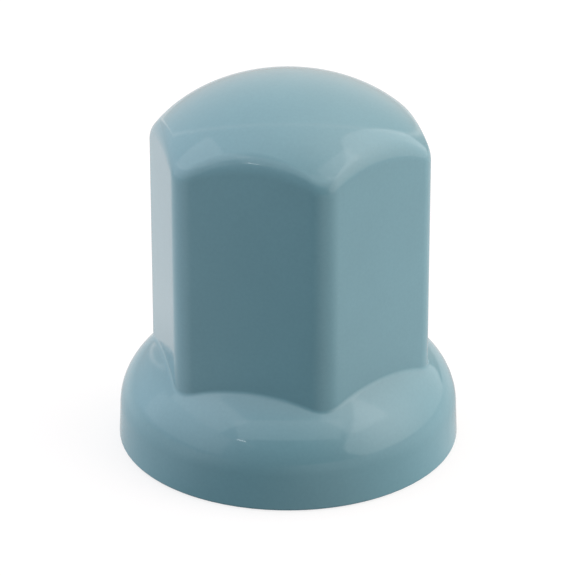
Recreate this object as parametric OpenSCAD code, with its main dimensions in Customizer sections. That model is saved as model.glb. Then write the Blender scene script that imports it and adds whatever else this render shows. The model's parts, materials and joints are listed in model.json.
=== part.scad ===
// Push-on cap for a truck wheel nut, moulded in one piece of plastic.
// A hollow hexagonal body with a domed end stands on a bell-shaped flange.
// The rim lies on z = 0, two upright edges of the body point along the X axis,
// and the cap opens downwards.

/* [Wheel nut] */
// Width across the flats of the nut that the cap fits
nut_across_flats = 33; // [30:0.5:36]
// Height of the nut's top face above the cap's rim
nut_top = 30; // [24:0.5:36]
// Play across the flats at the nut's top face
nut_play = 0.4; // [0:0.05:0.6]
// Diameter of the captive washer at the nut's foot
washer_d = 46; // [44:0.5:50]
// Play on the washer's diameter
washer_play = 0.4; // [0.2:0.1:1]

/* [Walls] */
// Wall of the body and of the dome
wall = 1.7; // [1:0.1:2]
// Wall of the flange
flange_wall = 1.8; // [1.4:0.1:2.4]
// Draft of the body's sides in degrees: the body narrows upwards
draft = 0.9; // [0.3:0.05:1.3]

/* [Body and dome] */
// Height from the rim to the top of the dome
cap_h = 54.5; // [50:0.5:66]
// Radius of the upright edges at the nut's top face
edge_r = 4; // [2.6:0.1:6]
// Height of the dome's curve, from its widest circle to its top
dome_h = 17; // [12:0.5:20]
// How far the dome's widest circle lies outside the upright edges
dome_over = 2; // [0.6:0.1:4]
// Radius of the blend between the dome and the body's sides
dome_blend_r = 4.5; // [1:0.1:6]

/* [Flange] */
// Height of the flange's upright side
flange_side_h = 4.6; // [3:0.1:8]
// How far the upright side leans out towards the rim
flange_lean = 0.3; // [0:0.05:0.6]
// Radius of the rim's outer edge
rim_edge_r = 0.4; // [0.2:0.05:0.8]
// Reach of the shoulder's curve towards the middle
shoulder_w = 16; // [12:0.5:18]
// Height of the shoulder's curve
shoulder_h = 12; // [9:0.5:14]
// Radius of the fillet where a flat meets the shoulder
fillet_r = 0.9; // [0.5:0.1:1.8]

/* [Inside] */
// Height of the lead-in at the socket's mouth
lead_h = 1.2; // [0.6:0.1:2]
// Slope of the lead-in, in degrees from upright
lead_slope = 30; // [20:1:40]
// Height of each grip rib above the socket's flat
rib_h = 0.3; // [0.2:0.05:0.5]
// Width of a grip rib
rib_w = 1; // [0.6:0.1:1.6]
// Distance between the two grip ribs on a flat
rib_pitch = 9; // [5:0.5:12]
// How far the grip ribs run on above the nut
rib_over = 3; // [1:0.5:5]

/* [Hidden] */

$fn = 96;
// Faces round an upright edge, across a flat, round the rim's edge, up the shoulder,
// round its fillet, round the dome's blend and up the dome
edge_steps = 8;
flat_steps = 12;
rim_steps = 3;
shoulder_steps = 8;
fillet_steps = 4;
blend_steps = 6;
dome_steps = 10;
// The same for the inside of the socket, which shows less
socket_edge_steps = 4;
socket_flat_steps = 6;
socket_blend_steps = 4;
socket_dome_steps = 8;
// Bands of the recess's curve
recess_steps = 10;
// Height that the cutting shapes reach past a face
past = 1;
// Least radius left on the inside of an edge or a blend
least_r = 0.3;
// How deep a rib's root reaches into the wall
rib_root = wall / 2;
// Rounds in which a meeting of two curves is found, and the stretch over which a direction is taken
meeting_rounds = 8;
stretch = 1;

across_flats = nut_across_flats + nut_play + 2 * wall;
edge_centre = (across_flats / 2 - edge_r) / cos(30);
bore_r = (washer_d + washer_play) / 2;
flange_r = bore_r + flange_wall;
rim_r = flange_r + flange_lean;
shoulder = [flange_r - shoulder_w, flange_side_h];
shoulder_axes = [shoulder_w, shoulder_h];
recess_axes = shoulder_axes - [flange_wall, flange_wall];
dome_base = cap_h - dome_h;
dome_r = edge_centre + edge_r - (dome_base - nut_top) * tan(draft) + dome_over;
rib_top = nut_top + rib_over;

// Radius of the body along an angle from its nearest upright edge, inset from the outside by t
function body_r(angle, z, t) =
    let (narrow = (z - nut_top) * tan(draft) + t)
    let (flat = across_flats / 2 - narrow)
    let (edge = max(edge_r - narrow, least_r))
    let (centre = (flat - edge) / cos(30))
    let (touch = atan2(edge * sin(30), centre + edge * cos(30)))
    angle > touch
        ? flat / cos(30 - angle)
        : centre * cos(angle) + sqrt(edge ^ 2 - (centre * sin(angle)) ^ 2);

// Angle from the nearest upright edge
function from_edge(a) = abs((a + 30) % 60 - 30);

// A point of an ellipse about a centre, and its direction of travel there
function on_ellipse(centre, axes, a) = centre + [axes[0] * cos(a), axes[1] * sin(a)];
function along_ellipse(axes, a) = [-axes[0] * sin(a), axes[1] * cos(a)];

// Angle on an ellipse at which the body's side meets it, found in a few rounds from a first height
function meeting(centre, axes, angle, t, z, rounds = meeting_rounds) =
    let (a = acos((body_r(angle, z, t) - centre[0]) / axes[0]))
    rounds == 0 ? a : meeting(centre, axes, angle, t, on_ellipse(centre, axes, a)[1], rounds - 1);

function cross_of(d, e) = d[0] * e[1] - d[1] * e[0];
function turn(d, e) = acos(d * e / norm(d) / norm(e));

// Round corner from p, left along d, to q, reached along e
function rounded(p, d, q, e, steps) =
    let (top = p + d * cross_of(q - p, e) / cross_of(d, e))
    let (weight = 2 * cos(turn(d, e) / 2))
    [
        for (i = [0 : steps])
        let (s = i / steps, a = (1 - s) ^ 2, b = weight * s * (1 - s), c = s ^ 2)
        (a * p + b * top + c * q) / (a + b + c)
    ];

// Direction of the body's side, upwards, taken over a short stretch about a height
function up_body(angle, z, t) =
    [body_r(angle, z + stretch / 2, t) - body_r(angle, z - stretch / 2, t), stretch];

// The body's side, the blend and the dome, up to just below the top
function upper_section(angle, t, blend, blend_n, dome_n) =
    let (axes = [dome_r - t, dome_h - t])
    let (centre = [0, dome_base])
    let (a = meeting(centre, axes, angle, t, dome_base + dome_h / 2))
    let (z = on_ellipse(centre, axes, a)[1])
    let (up = up_body(angle, z, t))
    let (reach = blend * tan(turn(up, along_ellipse(axes, a)) / 2))
    let (low = [body_r(angle, z - reach, t), z - reach])
    let (a_end = a + reach / norm(along_ellipse(axes, a)) * 180 / PI)
    let (high = on_ellipse(centre, axes, a_end))
    concat(
        rounded(low, up, high, along_ellipse(axes, a_end), blend_n),
        [for (i = [1 : dome_n - 1]) on_ellipse(centre, axes, a_end + (90 - a_end) * i / dome_n)]
    );

// The rim, the flange's side, the shoulder and its fillet into the body's side
function lower_section(angle) =
    let (a = meeting(shoulder, shoulder_axes, angle, 0, flange_side_h + shoulder_h / 2))
    let (z = on_ellipse(shoulder, shoulder_axes, a)[1])
    let (up = up_body(angle, z, 0))
    let (along = along_ellipse(shoulder_axes, a))
    let (reach = fillet_r * tan(turn(along, up) / 2))
    let (a_end = a - reach / norm(along) * 180 / PI)
    let (high = [body_r(angle, z + reach, 0), z + reach])
    concat(
        [
            for (i = [0 : rim_steps])
            on_ellipse([rim_r - rim_edge_r, rim_edge_r], [rim_edge_r, rim_edge_r], 90 * i / rim_steps - 90)
        ],
        [for (i = [0 : shoulder_steps - 1]) on_ellipse(shoulder, shoulder_axes, a_end * i / shoulder_steps)],
        rounded(
            on_ellipse(shoulder, shoulder_axes, a_end), along_ellipse(shoulder_axes, a_end),
            high, up, fillet_steps
        )
    );

function outer_section(a) = concat(
    lower_section(from_edge(a)),
    upper_section(from_edge(a), 0, dome_blend_r, blend_steps, dome_steps)
);

// Height at which the socket's side meets the curve of the recess
function mouth_z(angle) =
    let (a = meeting(shoulder, recess_axes, angle, wall, flange_side_h + shoulder_h / 2))
    on_ellipse(shoulder, recess_axes, a)[1];

// The socket starts inside the recess and narrows along its lead-in
function socket_section(a) =
    let (angle = from_edge(a), foot = mouth_z(angle) - past, top = mouth_z(angle) + lead_h)
    let (blend = max(dome_blend_r - wall, least_r))
    concat(
        [[body_r(angle, top, wall) + (top - foot) * tan(lead_slope), foot]],
        [[body_r(angle, top, wall), top]],
        upper_section(angle, wall, blend, socket_blend_steps, socket_dome_steps)
    );

// Angles of the sections: close together round each upright edge, evenly spread across each flat
function section_angles(edge_n, flat_n) =
    let (half_flat = edge_centre * sin(30))
    [
        for (side = [0 : 5], a = concat(
            [
                for (i = [0 : edge_n])
                let (p = 60 * i / edge_n - 30)
                atan2(edge_r * sin(p), edge_centre + edge_r * cos(p))
            ],
            [for (i = [1 : flat_n - 1]) 30 - atan2(half_flat * (1 - 2 * i / flat_n), across_flats / 2)]
        ))
        60 * side + a
    ];

// Solid skinned over sections that all have the same number of points, closed by a tip and a foot
module skin(angles, sections, tip) {
    n = len(sections);
    m = len(sections[0]);
    points = [
        for (i = [0 : n - 1], p = sections[i])
        [p[0] * cos(angles[i]), p[0] * sin(angles[i]), p[1]]
    ];
    middle = [[0, 0, tip], [0, 0, sections[0][0][1]]];
    polyhedron(
        concat(points, middle),
        [
            for (i = [0 : n - 1])
            let (here = i * m, next = (i + 1) % n * m)
            each concat(
                [for (j = [0 : m - 2]) each [
                    [here + j, here + j + 1, next + j + 1],
                    [here + j, next + j + 1, next + j]
                ]],
                [[here + m - 1, n * m, next + m - 1]],
                [[here, next, n * m + 1]]
            )
        ],
        convexity = 6
    );
}

module outside() {
    angles = section_angles(edge_steps, flat_steps);
    skin(angles, [for (a = angles) outer_section(a)], cap_h);
}

module socket() {
    angles = section_angles(socket_edge_steps, socket_flat_steps);
    skin(angles, [for (a = angles) socket_section(a)], cap_h - wall);
}

// Recess for the washer: a true bore with the shoulder's curve above it, one wall inside the outside
module recess() {
    rotate_extrude()
        polygon(concat(
            [[0, -past], [bore_r, -past]],
            [for (i = [0 : recess_steps]) on_ellipse(shoulder, recess_axes, 90 * i / recess_steps)],
            [[0, shoulder[1] + recess_axes[1]]]
        ));
}

// One grip rib on the flat that faces -Y, from the socket's mouth up, with a sloping foot
module rib(x) {
    foot = mouth_z(30 - atan2(rib_pitch / 2, across_flats / 2)) + lead_h;
    wall_y = function (z) body_r(30, z, wall);
    translate([x + rib_w / 2, 0, 0])
        rotate([90, 0, -90])
            linear_extrude(rib_w)
                polygon([
                    [wall_y(foot), foot],
                    [wall_y(foot) - rib_h, foot + rib_h / tan(lead_slope)],
                    [wall_y(rib_top) - rib_h, rib_top],
                    [wall_y(rib_top) + rib_root, rib_top],
                    [wall_y(foot) + rib_root, foot]
                ]);
}

module ribs() {
    for (side = [0 : 5], x = [-rib_pitch / 2, rib_pitch / 2])
        rotate(60 * side)
            rib(x);
}

module cap() {
    color([0.45, 0.58, 0.62])
        difference() {
            outside();
            recess();
            difference() {
                socket();
                ribs();
            }
        }
}

cap();
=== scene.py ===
import json
from functools import cache
from math import acos, atan2, cos, hypot, pi, radians, sin, sqrt, tan

import bmesh
import bpy
from mathutils import Matrix, Vector

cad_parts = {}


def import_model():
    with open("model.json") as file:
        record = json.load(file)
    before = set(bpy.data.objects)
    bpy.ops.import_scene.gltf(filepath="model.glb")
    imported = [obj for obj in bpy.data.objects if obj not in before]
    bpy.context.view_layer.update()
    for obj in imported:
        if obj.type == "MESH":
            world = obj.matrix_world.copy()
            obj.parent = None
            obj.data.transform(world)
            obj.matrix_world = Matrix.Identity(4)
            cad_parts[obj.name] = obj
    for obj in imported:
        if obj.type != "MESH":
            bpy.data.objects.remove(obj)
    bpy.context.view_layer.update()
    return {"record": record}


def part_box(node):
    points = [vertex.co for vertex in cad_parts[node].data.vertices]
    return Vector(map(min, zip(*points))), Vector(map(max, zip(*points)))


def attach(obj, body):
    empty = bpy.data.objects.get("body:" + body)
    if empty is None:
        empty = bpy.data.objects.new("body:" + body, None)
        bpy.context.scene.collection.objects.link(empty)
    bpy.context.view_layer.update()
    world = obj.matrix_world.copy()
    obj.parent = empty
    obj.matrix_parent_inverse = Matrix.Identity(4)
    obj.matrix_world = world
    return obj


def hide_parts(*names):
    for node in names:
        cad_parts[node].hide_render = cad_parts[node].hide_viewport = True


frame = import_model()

# Units and the hexagon's angles. Sizes of the cap are in millimetres
MM = 0.001
MICROMETRE = 1e-6
SIXTH = radians(60)
TWELFTH = radians(30)
QUARTER = radians(90)

# Sizes that the frame gives
MOUNTS = {mount["name"]: mount for mount in frame["record"]["mounts"]}
CAP_TOP_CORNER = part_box("cap")[1]
CAP_H = CAP_TOP_CORNER.z / MM
RIM_R = CAP_TOP_CORNER.x / MM
BORE_R = MOUNTS["washer_bore"]["dims"]["r_mm"]
BORE_H = MOUNTS["washer_bore"]["dims"]["length_mm"]
NUT_TOP = MOUNTS["nut_socket"]["pos_m"][2] / MM

# Body and dome
ACROSS_FLATS = 36.8
WALL = 1.7
DRAFT = radians(0.9)
EDGE_R = 4.0
DOME_H = 17.0
DOME_OVER = 2.0
DOME_BLEND_R = 4.5

# Flange
FLANGE_LEAN = 0.3
FLANGE_WALL = 1.8
RIM_EDGE_R = 0.4
BORE_EDGE_R = 0.15
SHOULDER_AXES = (16.0, 12.0)
FILLET_R = 0.9

# Inside, with the least radius that a round has there
LEAD_H = 1.2
LEAD_SLOPE = radians(30)
RIB_H = 0.3
RIB_W = 1.0
RIB_PITCH = 9.0
RIB_OVER = 3.0
LEAST_R = 0.3

# Rings and columns of the mesh. Half a flat has columns up to its rib, over the rib and past it
EDGE_COLUMNS = 14
FLAT_COLUMNS = (3, 1, 3)
SHOULDER_RINGS = 20
FILLET_RINGS = 8
BLEND_RINGS = 12
DOME_RINGS = 20
RECESS_RINGS = 14
SOCKET_BLEND_RINGS = 6
SOCKET_DOME_RINGS = 14
RIM_EDGE_RINGS = 5
BORE_EDGE_RINGS = 2
SMOOTH_UNDER = radians(27)

# Worked out from the sizes above
FLANGE_R = RIM_R - FLANGE_LEAN
EDGE_CENTRE = (ACROSS_FLATS / 2 - EDGE_R) / cos(TWELFTH)
INNER_FLAT = ACROSS_FLATS / 2 - WALL
SHOULDER = (FLANGE_R - SHOULDER_AXES[0], BORE_H)
SHOULDER_MIDDLE_Z = BORE_H + SHOULDER_AXES[1] / 2
RECESS_AXES = tuple(axis - FLANGE_WALL for axis in SHOULDER_AXES)
DOME_BASE = CAP_H - DOME_H
DOME_R = EDGE_CENTRE + EDGE_R - (DOME_BASE - NUT_TOP) * tan(DRAFT) + DOME_OVER
RIB_TOP = NUT_TOP + RIB_OVER

# How finely places are worked out: rounds that find a meeting of two curves, halvings that find a crossing,
# the height over which a side's slope is taken, decimals of an angle, and the distance that counts as none
MEETING_ROUNDS = 9
CROSSING_HALVINGS = 40
SLOPE_STEP = 1.0
ANGLE_DECIMALS = 6
TINY = 0.001


# Outline of the body

def body_r(angle, z, inset):
    """Radius of the body at an angle from its nearest upright edge, set in from the outside."""
    narrow = (z - NUT_TOP) * tan(DRAFT) + inset
    flat = ACROSS_FLATS / 2 - narrow
    edge = max(EDGE_R - narrow, LEAST_R)
    centre = (flat - edge) / cos(TWELFTH)
    touch = atan2(edge * sin(TWELFTH), centre + edge * cos(TWELFTH))
    if angle > touch:
        return flat / cos(TWELFTH - angle)
    return centre * cos(angle) + sqrt(edge ** 2 - (centre * sin(angle)) ** 2)


def from_edge(angle):
    """Angle from the nearest upright edge."""
    return abs((angle + SIXTH / 2) % SIXTH - SIXTH / 2)


def on_ellipse(centre, axes, a):
    """Point of an ellipse at one of its own angles."""
    return Vector((centre[0] + axes[0] * cos(a), centre[1] + axes[1] * sin(a)))


def along_ellipse(axes, a):
    """Direction of an ellipse at one of its own angles, as long as its way for one radian there."""
    return Vector((-axes[0] * sin(a), axes[1] * cos(a)))


def meeting(centre, axes, angle, inset, z):
    """Angle on an ellipse at which the body's side meets it, found in rounds from a height near by."""
    for _ in range(MEETING_ROUNDS):
        a = acos((body_r(angle, z, inset) - centre[0]) / axes[0])
        z = on_ellipse(centre, axes, a)[1]
    return a


def up_body(angle, z, inset):
    """Direction of the body's side, upwards."""
    high = body_r(angle, z + SLOPE_STEP / 2, inset)
    low = body_r(angle, z - SLOPE_STEP / 2, inset)
    return Vector((high - low, SLOPE_STEP))


def rounded(p, d, q, e, steps):
    """Round corner from p, left along d, to q, reached along e."""
    top = p + d * ((q - p).cross(e) / d.cross(e))
    weight = 2 * cos(d.angle(e) / 2)
    points = []
    for i in range(steps + 1):
        s = i / steps
        a, b, c = (1 - s) ** 2, weight * s * (1 - s), s ** 2
        points.append((a * p + b * top + c * q) / (a + b + c))
    return points


# Sections from the rim to the top, each a list of (radius, height) at one angle from an upright edge

@cache
def shoulder_section(angle):
    """The shoulder's curve and its fillet into the body's side."""
    a = meeting(SHOULDER, SHOULDER_AXES, angle, 0, SHOULDER_MIDDLE_Z)
    z = on_ellipse(SHOULDER, SHOULDER_AXES, a)[1]
    up = up_body(angle, z, 0)
    along = along_ellipse(SHOULDER_AXES, a)
    reach = FILLET_R * tan(along.angle(up) / 2)
    end = a - reach / along.length
    high = Vector((body_r(angle, z + reach, 0), z + reach))
    curve = [on_ellipse(SHOULDER, SHOULDER_AXES, end * i / SHOULDER_RINGS) for i in range(1, SHOULDER_RINGS)]
    foot = on_ellipse(SHOULDER, SHOULDER_AXES, end)
    return curve + rounded(foot, along_ellipse(SHOULDER_AXES, end), high, up, FILLET_RINGS)


@cache
def dome_section(angle, inset, blend, blend_rings, dome_rings):
    """The blend of the body's side into the dome, and the dome up to its last ring."""
    axes = (DOME_R - inset, DOME_H - inset)
    centre = (0, DOME_BASE)
    a = meeting(centre, axes, angle, inset, DOME_BASE + DOME_H / 2)
    z = on_ellipse(centre, axes, a)[1]
    up = up_body(angle, z, inset)
    along = along_ellipse(axes, a)
    reach = blend * tan(up.angle(along) / 2)
    low = Vector((body_r(angle, z - reach, inset), z - reach))
    end = a + reach / along.length
    curve = rounded(low, up, on_ellipse(centre, axes, end), along_ellipse(axes, end), blend_rings)
    rest = QUARTER - end
    return curve + [on_ellipse(centre, axes, end + rest * i / dome_rings) for i in range(1, dome_rings)]


def outer_dome(angle):
    """The body's side and dome, outside."""
    return dome_section(angle, 0, DOME_BLEND_R, BLEND_RINGS, DOME_RINGS)


def socket_dome(angle):
    """The socket's side up to the ribs' top, its blend and the dome's inside."""
    blend = max(DOME_BLEND_R - WALL, LEAST_R)
    side = [Vector((body_r(angle, RIB_TOP, WALL), RIB_TOP))]
    return side + dome_section(angle, WALL, blend, SOCKET_BLEND_RINGS, SOCKET_DOME_RINGS)


@cache
def mouth_z(angle):
    """Height at which the socket's side meets the curve of the recess."""
    a = meeting(SHOULDER, RECESS_AXES, angle, WALL, SHOULDER_MIDDLE_Z)
    return on_ellipse(SHOULDER, RECESS_AXES, a)[1]


@cache
def recess_section(angle):
    """The recess's curve up to the socket's lead-in, found where the two cross."""
    lead_top = mouth_z(angle) + LEAD_H
    lead_r = body_r(angle, lead_top, WALL)
    low, high = 0, QUARTER
    for _ in range(CROSSING_HALVINGS):
        a = (low + high) / 2
        r, z = on_ellipse(SHOULDER, RECESS_AXES, a)
        outside = r > lead_r + (lead_top - z) * tan(LEAD_SLOPE)
        low, high = (a, high) if outside else (low, a)
    curve = [on_ellipse(SHOULDER, RECESS_AXES, a * i / RECESS_RINGS) for i in range(1, RECESS_RINGS + 1)]
    return curve + [Vector((lead_r, lead_top))]


def column_angles():
    """Angles of the mesh's columns: close together round each upright edge, with one at each rib's side."""
    edge = []
    for i in range(EDGE_COLUMNS + 1):
        turn = SIXTH * i / EDGE_COLUMNS - TWELFTH
        edge.append(atan2(EDGE_R * sin(turn), EDGE_CENTRE + EDGE_R * cos(turn)))
    rib_sides = [(RIB_PITCH + side * RIB_W) / 2 / INNER_FLAT for side in (-1, 1)]
    flat_end = EDGE_CENTRE * sin(TWELFTH) / (ACROSS_FLATS / 2)
    stops = [0, *rib_sides, flat_end]
    slopes = []
    for low, high, count in zip(stops, stops[1:], FLAT_COLUMNS):
        slopes += [low + (high - low) * i / count for i in range(count)]
    half = [TWELFTH - atan2(slope, 1) for slope in slopes]
    flat = half[:0:-1] + [TWELFTH] + [SIXTH - angle for angle in half[1:]]
    return [SIXTH * side + angle for side in range(6) for angle in edge + flat]


# Modelling by rings

SELECT_MODES = {"verts": "VERT", "edges": "EDGE", "faces": "FACE"}


def edit(piece):
    """Makes a piece the only one selected and opens it for editing."""
    bpy.ops.object.select_all(action="DESELECT")
    bpy.context.view_layer.objects.active = piece
    piece.select_set(True)
    bpy.ops.object.mode_set(mode="EDIT")


def select(piece, test, kind="verts"):
    """Selects the vertices, edges or faces whose middle, in millimetres, passes a test."""
    bpy.ops.mesh.select_all(action="DESELECT")
    bpy.ops.mesh.select_mode(type=SELECT_MODES[kind])
    mesh = bmesh.from_edit_mesh(piece.data)
    for item in getattr(mesh, kind):
        if kind == "verts":
            middle = item.co
        else:
            middle = sum((v.co for v in item.verts), Vector()) / len(item.verts)
        item.select = test(middle / MM)
    mesh.select_flush_mode()
    bmesh.update_edit_mesh(piece.data)


def place_ring(piece, section, step):
    """Moves the selected ring's vertices to one step of the section at each one's own angle."""
    mesh = bmesh.from_edit_mesh(piece.data)
    for v in mesh.verts:
        if v.select:
            angle = atan2(v.co.y, v.co.x)
            r, z = section(round(from_edge(angle), ANGLE_DECIMALS))[step]
            v.co = Vector((r * cos(angle), r * sin(angle), z)) * MM
    bmesh.update_edit_mesh(piece.data)


def extrude_rings(piece, section):
    """Extrudes the selected ring on, one ring for each step of the section."""
    for step in range(len(section(0.0))):
        bpy.ops.mesh.extrude_region_move()
        place_ring(piece, section, step)


def close_tip(piece, z):
    """Extrudes the selected ring on to one point on the axis."""
    bpy.ops.mesh.extrude_region_move()
    mesh = bmesh.from_edit_mesh(piece.data)
    for v in mesh.verts:
        if v.select:
            v.co = Vector((0, 0, z * MM))
    bmesh.update_edit_mesh(piece.data)
    bpy.ops.mesh.merge(type="CENTER")


def in_rim(middle):
    """Whether a place is level with the rim."""
    return middle.z < TINY


def cap():
    """The moulding without its ribs: outside, rim, washer bore, recess and socket."""
    angles = column_angles()
    bpy.ops.mesh.primitive_circle_add(vertices=len(angles), radius=RIM_R * MM, fill_type="NOTHING")
    piece = bpy.context.object
    piece.name = "cap_moulding"
    for v, angle in zip(piece.data.vertices, angles):
        v.co = Vector((RIM_R * cos(angle), RIM_R * sin(angle), 0)) * MM
    edit(piece)

    # Outside, upwards: the side narrows to the shoulder
    bpy.ops.mesh.select_all(action="SELECT")
    narrowing = FLANGE_R / RIM_R
    bpy.ops.mesh.extrude_region_move(TRANSFORM_OT_translate={"value": (0, 0, BORE_H * MM)})
    bpy.ops.transform.resize(value=(narrowing, narrowing, 1))
    extrude_rings(piece, shoulder_section)
    extrude_rings(piece, outer_dome)
    close_tip(piece, CAP_H)

    # Inside, upwards from the rim
    select(piece, in_rim)
    bpy.ops.mesh.extrude_region_move()
    bpy.ops.transform.resize(value=(BORE_R / RIM_R, BORE_R / RIM_R, 1))
    bpy.ops.mesh.extrude_region_move(TRANSFORM_OT_translate={"value": (0, 0, BORE_H * MM)})
    extrude_rings(piece, recess_section)
    extrude_rings(piece, socket_dome)
    close_tip(piece, CAP_H - WALL)
    bpy.ops.object.mode_set(mode="OBJECT")
    return piece


def on_rib(middle, out):
    """Whether a place on the socket's wall is on one of the two ribs of the flat that faces out."""
    across = abs(middle.dot(Vector((-out.y, out.x, 0))))
    on_flat = abs(middle.dot(out) - INNER_FLAT) < WALL / 2
    level = SHOULDER_MIDDLE_Z < middle.z < RIB_TOP
    return on_flat and level and abs(across - RIB_PITCH / 2) < RIB_W / 2


def rib_pair(piece, out):
    """Draws two ribs out of one flat of the socket, with sloping feet."""
    select(piece, lambda middle: on_rib(middle, out), "faces")
    bpy.ops.mesh.extrude_region_move(TRANSFORM_OT_translate={"value": -out * RIB_H * MM})
    mesh = bmesh.from_edit_mesh(piece.data)
    for v in mesh.verts:
        if v.select and v.co.z < NUT_TOP * MM:
            v.co.z += RIB_H * MM / tan(LEAD_SLOPE)
    bmesh.update_edit_mesh(piece.data)


def grip_ribs(piece):
    """Two ribs on each of the socket's six flats."""
    edit(piece)
    for side in range(6):
        flat = radians(60 * side + 30)
        rib_pair(piece, Vector((cos(flat), sin(flat), 0)))
    bpy.ops.object.mode_set(mode="OBJECT")


def on_circle(middle, r):
    """Whether a place is on one of the rim's two circles."""
    return in_rim(middle) and abs(hypot(middle.x, middle.y) - r) < RIM_EDGE_R


def round_edge(piece, circle_r, edge_r, rings):
    """Rounds the edge that runs along one circle of the rim."""
    select(piece, lambda middle: on_circle(middle, circle_r), "edges")
    bpy.ops.mesh.bevel(offset=edge_r * MM, segments=rings, affect="EDGES")


def round_rim(piece):
    """Rounds the rim's outer edge, and breaks the washer bore's edge."""
    edit(piece)
    round_edge(piece, RIM_R, RIM_EDGE_R, RIM_EDGE_RINGS)
    round_edge(piece, BORE_R, BORE_EDGE_R, BORE_EDGE_RINGS)
    bpy.ops.object.mode_set(mode="OBJECT")


def finish_mesh(piece):
    """Closes the mesh's doubles, turns its faces outwards and smooths all but its sharp edges."""
    edit(piece)
    bpy.ops.mesh.select_all(action="SELECT")
    bpy.ops.mesh.remove_doubles(threshold=TINY * MM)
    bpy.ops.mesh.normals_make_consistent(inside=False)
    bpy.ops.object.mode_set(mode="OBJECT")
    bpy.ops.object.shade_smooth_by_angle(angle=SMOOTH_UNDER)
    modifier = piece.modifiers.new("even_normals", "WEIGHTED_NORMAL")
    modifier.keep_sharp = True
    bpy.ops.object.modifier_apply(modifier=modifier.name)


# Nodes

WHITE = (1, 1, 1, 1)


def add(tree, kind, **settings):
    """Adds a node and sets its properties."""
    node = tree.nodes.new(kind)
    for name, value in settings.items():
        setattr(node, name, value)
    return node


def give(tree, value, socket):
    """Sets a socket to a number, or links another socket to it."""
    if isinstance(value, (int, float)):
        socket.default_value = value
    else:
        tree.links.new(value, socket)


def maths(tree, operation, *values):
    """Adds a Math node: each value is a number or a socket to link."""
    node = add(tree, "ShaderNodeMath", operation=operation)
    for socket, value in zip(node.inputs, values):
        give(tree, value, socket)
    return node.outputs[0]


def graded(tree, value, ends, results, **settings):
    """Adds a Map Range node, which takes a value between two ends to one between two results."""
    node = add(tree, "ShaderNodeMapRange", **settings)
    tree.links.new(value, node.inputs["Value"])
    for name, number in zip(("From Min", "From Max", "To Min", "To Max"), (*ends, *results)):
        node.inputs[name].default_value = number
    return node.outputs["Result"]


def noise(tree, place, size, detail, distortion):
    """Noise between about -0.5 and 0.5, in lumps of a size in millimetres."""
    node = add(tree, "ShaderNodeTexNoise")
    tree.links.new(place, node.inputs["Vector"])
    node.inputs["Scale"].default_value = 1 / (size * MM)
    node.inputs["Detail"].default_value = detail
    node.inputs["Distortion"].default_value = distortion
    return maths(tree, "SUBTRACT", node.outputs["Fac"], 0.5)


def emission(tree, colour, strength):
    """Adds an Emission node, its strength a number or a socket to link."""
    node = add(tree, "ShaderNodeEmission")
    node.inputs["Color"].default_value = colour
    give(tree, strength, node.inputs["Strength"])
    return node.outputs[0]


def matt(tree, colour):
    """Adds a Diffuse BSDF node."""
    node = add(tree, "ShaderNodeBsdfDiffuse")
    node.inputs["Color"].default_value = colour
    return node.outputs[0]


def summed(tree, first, second):
    """Adds an Add Shader node."""
    both = add(tree, "ShaderNodeAddShader")
    tree.links.new(first, both.inputs[0])
    tree.links.new(second, both.inputs[1])
    return both.outputs[0]


def mixed(tree, factor, first, second):
    """Adds a Mix Shader node."""
    mix = add(tree, "ShaderNodeMixShader")
    tree.links.new(factor, mix.inputs[0])
    tree.links.new(first, mix.inputs[1])
    tree.links.new(second, mix.inputs[2])
    return mix.outputs[0]


def bare_material(name):
    """A material with only its output, with its tree and its output's surface socket."""
    material = bpy.data.materials.new(name)
    material.use_nodes = True
    material.node_tree.nodes.clear()
    out = add(material.node_tree, "ShaderNodeOutputMaterial")
    return material, material.node_tree, out.inputs["Surface"]


# Plastic: its colour, and the gloss and unevenness of the outside and the inside, with their relief
# in micrometres
CAP_COLOUR = (0.149, 0.3, 0.353, 1)
PLASTIC_IOR = 1.5
GLOSSY_FACE = {
    "Roughness": 0.08,
    "Cloudiness": 0.12,
    "Specks": 0.08,
    "Unevenness": 0.5,
    "Ripple": 0.6,
    "Grain": 0.1,
}
GLOSSY_RELIEF = 3
DULL_FACE = {
    "Roughness": 0.42,
    "Cloudiness": 0.16,
    "Specks": 0.12,
    "Unevenness": 0.3,
    "Ripple": 0.5,
    "Grain": 0.8,
}
DULL_RELIEF = 12

# Noises of the plastic: size in millimetres, detail and distortion
CLOUDS = (12.0, 3.0, 0.6)
SPECKS = (0.45, 1.0, 0.0)
HANDLING = (6.0, 4.0, 1.2)
RIPPLE = (2.2, 0.0, 0.0)
GRAIN = (0.25, 0.0, 0.0)


def grain_group():
    """The node group moulded_grain with its sockets, whose first values are those of the glossy face."""
    group = bpy.data.node_groups.new("moulded_grain", "ShaderNodeTree")
    interface = group.interface
    colour = interface.new_socket("Colour", in_out="INPUT", socket_type="NodeSocketColor")
    colour.default_value = CAP_COLOUR
    for name, value in GLOSSY_FACE.items():
        socket = interface.new_socket(name, in_out="INPUT", socket_type="NodeSocketFloat")
        socket.default_value = value
    interface.new_socket("Colour", in_out="OUTPUT", socket_type="NodeSocketColor")
    interface.new_socket("Roughness", in_out="OUTPUT", socket_type="NodeSocketFloat")
    interface.new_socket("Height", in_out="OUTPUT", socket_type="NodeSocketFloat")
    return group


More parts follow.
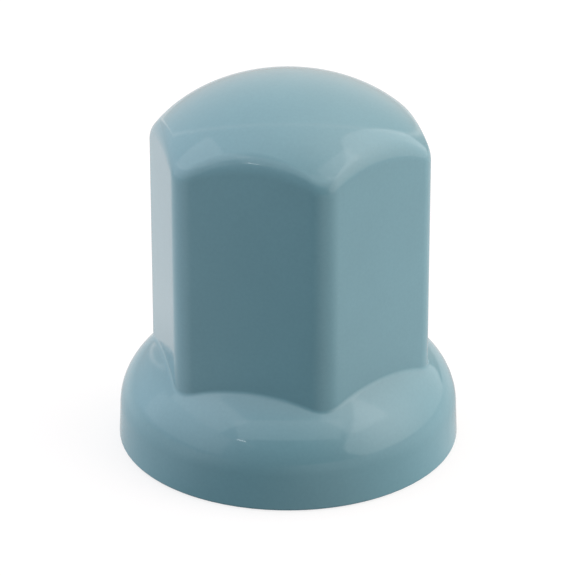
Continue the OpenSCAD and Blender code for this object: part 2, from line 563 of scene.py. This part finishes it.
def moulded_grain():
    """Cloudy colour with fine specks, uneven gloss, and the faint ripple and grain of a moulded face."""
    group = grain_group()
    given = add(group, "NodeGroupInput").outputs
    result = add(group, "NodeGroupOutput").inputs
    place = add(group, "ShaderNodeTexCoord").outputs["Object"]

    clouds = maths(group, "MULTIPLY", noise(group, place, *CLOUDS), given["Cloudiness"])
    specks = maths(group, "MULTIPLY", noise(group, place, *SPECKS), given["Specks"])
    shade = maths(group, "ADD", maths(group, "ADD", clouds, specks), 1.0)
    colour = add(group, "ShaderNodeVectorMath", operation="SCALE")
    group.links.new(given["Colour"], colour.inputs[0])
    group.links.new(shade, colour.inputs["Scale"])
    group.links.new(colour.outputs["Vector"], result["Colour"])

    handled = maths(group, "MULTIPLY", noise(group, place, *HANDLING), given["Unevenness"])
    worn = maths(group, "MULTIPLY_ADD", handled, given["Roughness"], given["Roughness"])
    group.links.new(worn, result["Roughness"])

    ripple = maths(group, "MULTIPLY", noise(group, place, *RIPPLE), given["Ripple"])
    grain = maths(group, "MULTIPLY", noise(group, place, *GRAIN), given["Grain"])
    group.links.new(maths(group, "ADD", ripple, grain), result["Height"])
    return group


def plastic(name, group, face, relief):
    """Plastic of the cap, with the group's inputs set by name."""
    material = bpy.data.materials.new(name)
    material.use_nodes = True
    tree = material.node_tree
    shader = tree.nodes["Principled BSDF"]
    shader.inputs["IOR"].default_value = PLASTIC_IOR
    grain = add(tree, "ShaderNodeGroup", node_tree=group)
    for socket, value in face.items():
        grain.inputs[socket].default_value = value
    bump = add(tree, "ShaderNodeBump")
    bump.inputs["Distance"].default_value = relief * MICROMETRE
    tree.links.new(grain.outputs["Height"], bump.inputs["Height"])
    tree.links.new(grain.outputs["Colour"], shader.inputs["Base Color"])
    tree.links.new(grain.outputs["Roughness"], shader.inputs["Roughness"])
    tree.links.new(bump.outputs["Normal"], shader.inputs["Normal"])
    return material


def on_inside(middle):
    """Whether a face's middle, in millimetres, is nearer to the cap's inside than to its outside."""
    r, z = hypot(middle.x, middle.y), middle.z
    if z < BORE_H:
        return z > TINY and r < BORE_R + BORE_EDGE_R
    half = WALL / 2
    axes = [axis - half for axis in SHOULDER_AXES]
    under_shoulder = z < BORE_H + axes[1] and (
        r < SHOULDER[0] or hypot((r - SHOULDER[0]) / axes[0], (z - BORE_H) / axes[1]) < 1
    )
    under_dome = z < DOME_BASE or hypot(r / (DOME_R - half), (z - DOME_BASE) / (DOME_H - half)) < 1
    in_body = r < body_r(from_edge(atan2(middle.y, middle.x)), z, half)
    return under_shoulder or (under_dome and in_body)


def paint(piece):
    """Soft gloss outside, and the same plastic with a duller, grainier face inside."""
    group = moulded_grain()
    outside = plastic("soft_gloss_grey_blue_plastic", group, GLOSSY_FACE, GLOSSY_RELIEF)
    inside = plastic("dull_grey_blue_plastic", group, DULL_FACE, DULL_RELIEF)
    piece.data.materials.append(outside)
    piece.data.materials.append(inside)
    edit(piece)
    select(piece, on_inside, "faces")
    piece.active_material_index = 1
    bpy.ops.object.material_slot_assign()
    bpy.ops.object.mode_set(mode="OBJECT")


# Camera: angles in degrees, with azimuth 0 at the front, and lengths in millimetres,
# but the focal length and the picture's width in pixels
CAMERA_AZIMUTH = 16.05
CAMERA_ELEVATION = 23.44
CAMERA_ROLL = -0.09
CAMERA_DISTANCE = 244.8
CAMERA_TARGET_Z = 22.4
CAMERA_CLIP = 10
SENSOR = 36
FOCAL = 1683.0
PICTURE = 576

# Softboxes: azimuth, elevation and roll in degrees, distance and size in metres, brightness,
# and whether a box lights the cap or is a card or lamp that only shows in its gloss
SOFTBOXES = {
    "right_softbox": (105, 15, 35, 0.5, (0.96, 0.85), 0.95, True),
    "left_white_card": (-60, 44, 0, 0.22, (0.2, 0.11), 0.65, False),
    "front_white_card": (17, 45, 0, 0.22, (0.27, 0.11), 0.62, False),
    "right_white_card": (80, 48, 0, 0.5, (0.27, 0.28), 0.75, False),
    "low_white_card": (-60, 17, 0, 0.5, (0.67, 0.28), 0.35, False),
    "long_lamp": (-17, 28.3, -8, 0.5, (0.047, 0.010), 8.0, False),
    "short_lamp": (-8.5, 22.5, -30, 0.5, (0.015, 0.006), 6.0, False),
}


def towards(azimuth, elevation):
    """Unit vector from the cap towards an azimuth and an elevation."""
    a, e = radians(azimuth), radians(elevation)
    return Vector((sin(a) * cos(e), -cos(a) * cos(e), sin(e)))


def facing(azimuth, elevation, roll, middle, distance):
    """Placing of a camera or lamp that looks at a point from a direction; lengths in metres."""
    back = towards(azimuth, elevation)
    turn = back.to_track_quat("Z", "Y").to_matrix() @ Matrix.Rotation(radians(roll), 3, "Z")
    return Matrix.LocRotScale(middle + back * distance, turn.to_quaternion(), None)


def put(name, data, placing):
    """Adds a camera or lamp to the scene at its placing."""
    thing = bpy.data.objects.new(name, data)
    bpy.context.scene.collection.objects.link(thing)
    thing.matrix_world = placing
    return thing


def camera():
    """The photograph's view of the cap."""
    data = bpy.data.cameras.new("camera")
    data.sensor_width = SENSOR
    data.lens = FOCAL / PICTURE * SENSOR
    data.clip_start = CAMERA_CLIP * MM
    middle = Vector((0, 0, CAMERA_TARGET_Z * MM))
    placing = facing(CAMERA_AZIMUTH, CAMERA_ELEVATION, CAMERA_ROLL, middle, CAMERA_DISTANCE * MM)
    bpy.context.scene.camera = put("camera", data, placing)


def softbox(name, azimuth, elevation, roll, distance, size, brightness, lights):
    """A rectangular lamp that faces the cap, where a brightness of 1 is white."""
    data = bpy.data.lights.new(name, "AREA")
    data.shape = "RECTANGLE"
    data.size, data.size_y = size
    data.energy = brightness * pi * size[0] * size[1]
    middle = Vector((0, 0, NUT_TOP * MM))
    box = put(name, data, facing(azimuth, elevation, roll, middle, distance))
    box.visible_camera = False
    box.visible_diffuse = lights


# Light tent: radius in metres. Each soft patch has an azimuth and an elevation in degrees, and a
# brightness; a higher spread makes the patches smaller
TENT_R = 0.8
TENT_SEGMENTS = 48
TENT_SPREAD = 8
WARM_LIGHT = (1.15, 1.01, 0.94, 1)
WARM_PATCHES = [
    (90, 5, 0.65),
    (180, 5, 0.45),
    (-135, 5, 0.45),
    (90, 35, 1.25),
    (135, 35, 0.3),
    (180, 35, 0.55),
    (-135, 35, 0.4),
    (60, 65, 0.2),
    (120, 65, 0.9),
    (180, 65, 0.15),
    (-120, 65, 0.35),
    (0, 90, 0.2),
]
COOL_LIGHT = (0.94, 0.98, 1.06, 1)
COOL_PATCHES = [
    (-90, 5, 1.0),
    (-45, 5, 0.5),
    (-90, 35, 0.9),
    (-45, 35, 0.75),
    (-60, 65, 0.75),
    (0, 65, 0.1),
]

# Round seam of the tent's back panel: azimuth and elevation of the panel's middle and its half-angle
# in degrees, how bright the seam is, and how far it fades to each side, as a difference in cosine
SEAM_DIRECTION = (-164, 36)
SEAM_ANGLE = 39.4
SEAM_GLOW = 0.5
SEAM_WIDTH = 0.02

# Floor: its gap under the rim in millimetres, how it lights the cap, and how it is seen
FLOOR_GAP = 0.02
DISC_SIDES = 64
FLOOR_SPREAD = 5
FLOOR_LIGHT = (0.92, 0.98, 1, 1)
FLOOR_PATCHES = [
    (0, 0, 0.25),
    (45, 0, 0.3),
    (90, 0, 0.9),
    (135, 0, 0.75),
    (180, 0, 0.45),
    (-135, 0, 0.55),
    (-90, 0, 0.95),
    (-45, 0, 0.35),
]
FLOOR_GLOW = 0.7
FLOOR_COLOUR = (0.28, 0.28, 0.28, 1)

# Graduated card on the floor: radii in metres, how dark the card is round each azimuth in degrees,
# and how dark its ring next to the cap is, a painted shadow of the cap on the floor that shows only in the
# gloss
CARD_R = 0.7
CARD_LOBES = [(0, 1.0), (-45, 0.05), (45, 0.45), (-135, 0.22), (135, 0.25), (180, 0.25)]
SHADOW_RING_R = 0.06
SHADOW_RING_DARKNESS = 0.3
CARD_COLOUR = (0.04, 0.04, 0.04, 1)


def nearness(tree, azimuth, elevation):
    """Cosine of the angle between a direction and that of the shaded point from the object's origin."""
    direction = add(tree, "ShaderNodeVectorMath", operation="NORMALIZE")
    tree.links.new(add(tree, "ShaderNodeTexCoord").outputs["Object"], direction.inputs[0])
    near = add(tree, "ShaderNodeVectorMath", operation="DOT_PRODUCT")
    tree.links.new(direction.outputs["Vector"], near.inputs[0])
    near.inputs[1].default_value = towards(azimuth, elevation)
    return near.outputs["Value"]


def patches(tree, entries, spread):
    """Sum of soft round patches of light, each brightest in its own direction."""
    total = 0.0
    for azimuth, elevation, brightness in entries:
        away = maths(tree, "SUBTRACT", nearness(tree, azimuth, elevation), 1.0)
        patch = maths(tree, "EXPONENT", maths(tree, "MULTIPLY", away, spread))
        total = maths(tree, "MULTIPLY_ADD", patch, brightness, total)
    return total


def seam(tree):
    """The thin bright line of the seam round the tent's back panel."""
    off = maths(tree, "SUBTRACT", nearness(tree, *SEAM_DIRECTION), cos(radians(SEAM_ANGLE)))
    return graded(tree, maths(tree, "ABSOLUTE", off), (0, SEAM_WIDTH), (SEAM_GLOW, 0))


def light_tent():
    """A round tent of white cloth that glows where the lamps outside it stand, hidden from the camera."""
    rings = TENT_SEGMENTS // 2
    bpy.ops.mesh.primitive_uv_sphere_add(segments=TENT_SEGMENTS, ring_count=rings, radius=TENT_R)
    tent = bpy.context.object
    tent.name = "light_tent"
    bpy.ops.object.shade_smooth()
    material, tree, surface = bare_material("glowing_tent_cloth")
    brightness = maths(tree, "ADD", patches(tree, WARM_PATCHES, TENT_SPREAD), seam(tree))
    warm = emission(tree, WARM_LIGHT, brightness)
    cool = emission(tree, COOL_LIGHT, patches(tree, COOL_PATCHES, TENT_SPREAD))
    tree.links.new(summed(tree, warm, cool), surface)
    tent.data.materials.append(material)
    tent.visible_camera = False


def disc(name, radius, drop):
    """A level round sheet under the rim; lengths in metres."""
    place = (0, 0, -drop)
    bpy.ops.mesh.primitive_circle_add(vertices=DISC_SIDES, radius=radius, fill_type="NGON", location=place)
    sheet = bpy.context.object
    sheet.name = name
    return sheet


def looked_at(tree):
    """Whether a ray comes from the camera, or from gloss or glass that shows what lies behind."""
    path = add(tree, "ShaderNodeLightPath").outputs
    seen = maths(tree, "MAXIMUM", path["Is Camera Ray"], path["Is Glossy Ray"])
    return maths(tree, "MAXIMUM", seen, path["Is Transmission Ray"])


def floor():
    """A white floor that keeps a faint shadow and lights the cap in soft patches. From below it is clear."""
    plane = disc("floor", TENT_R, FLOOR_GAP * MM)
    material, tree, surface = bare_material("white_floor")
    seen = summed(tree, matt(tree, FLOOR_COLOUR), emission(tree, WHITE, FLOOR_GLOW))
    light = emission(tree, FLOOR_LIGHT, patches(tree, FLOOR_PATCHES, FLOOR_SPREAD))
    above = mixed(tree, looked_at(tree), light, seen)
    below = add(tree, "ShaderNodeNewGeometry").outputs["Backfacing"]
    clear = add(tree, "ShaderNodeBsdfTransparent").outputs[0]
    tree.links.new(mixed(tree, below, above, clear), surface)
    plane.data.materials.append(material)


def lobes(tree):
    """How dark the card's lobes are: each is a soft band of 90 degrees round its own azimuth."""
    total = 0.0
    for azimuth, shade in CARD_LOBES:
        near = maths(tree, "MAXIMUM", nearness(tree, azimuth, 0), 0.0)
        twice = maths(tree, "MULTIPLY_ADD", maths(tree, "MULTIPLY", near, near), 2.0, -1.0)
        lobe = maths(tree, "MAXIMUM", twice, 0.0)
        total = maths(tree, "MULTIPLY_ADD", maths(tree, "MULTIPLY", lobe, lobe), shade, total)
    return total


def card_shade(tree):
    """How dark the card is: its lobes, and a ring of painted shadow that fades away from the cap, where the
    cap's shadow falls on the floor.
    """
    clear_of_lobes = maths(tree, "SUBTRACT", 1.0, lobes(tree))
    away = add(tree, "ShaderNodeVectorMath", operation="LENGTH")
    tree.links.new(add(tree, "ShaderNodeTexCoord").outputs["Object"], away.inputs[0])
    ends = (RIM_R * MM, SHADOW_RING_R)
    # Painted shadow: the card is darker next to the cap, standing in for the cap's shadow on the floor as
    # the gloss shows it
    ring = graded(tree, away.outputs["Value"], ends, (SHADOW_RING_DARKNESS, 0), interpolation_type="SMOOTHSTEP")
    clear = maths(tree, "MULTIPLY", clear_of_lobes, maths(tree, "SUBTRACT", 1.0, ring))
    return maths(tree, "MAXIMUM", maths(tree, "SUBTRACT", 1.0, clear), 0.0)


def graduated_card():
    """A round card on the floor, darkest in front of the cap and with a painted shadow round the cap's foot,
    that shows only in its gloss.
    """
    card = disc("graduated_card", CARD_R, FLOOR_GAP / 2 * MM)
    material, tree, surface = bare_material("graduated_dark_card")
    clear = add(tree, "ShaderNodeBsdfTransparent").outputs[0]
    tree.links.new(mixed(tree, card_shade(tree), clear, matt(tree, CARD_COLOUR)), surface)
    card.data.materials.append(material)
    card.visible_camera = False
    card.visible_diffuse = False
    card.visible_shadow = False
    card.visible_transmission = False


def world():
    """White surroundings."""
    surroundings = bpy.data.worlds.new("surroundings")
    bpy.context.scene.world = surroundings
    surroundings.use_nodes = True
    background = surroundings.node_tree.nodes["Background"]
    background.inputs["Color"].default_value = WHITE
    background.inputs["Strength"].default_value = 1


camera()
moulding = cap()
grip_ribs(moulding)
round_rim(moulding)
finish_mesh(moulding)
paint(moulding)
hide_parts("cap")
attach(moulding, "root")
floor()
graduated_card()
light_tent()
for lamp_name, settings in SOFTBOXES.items():
    softbox(lamp_name, *settings)
world()
bpy.context.scene.view_settings.view_transform = "Standard"
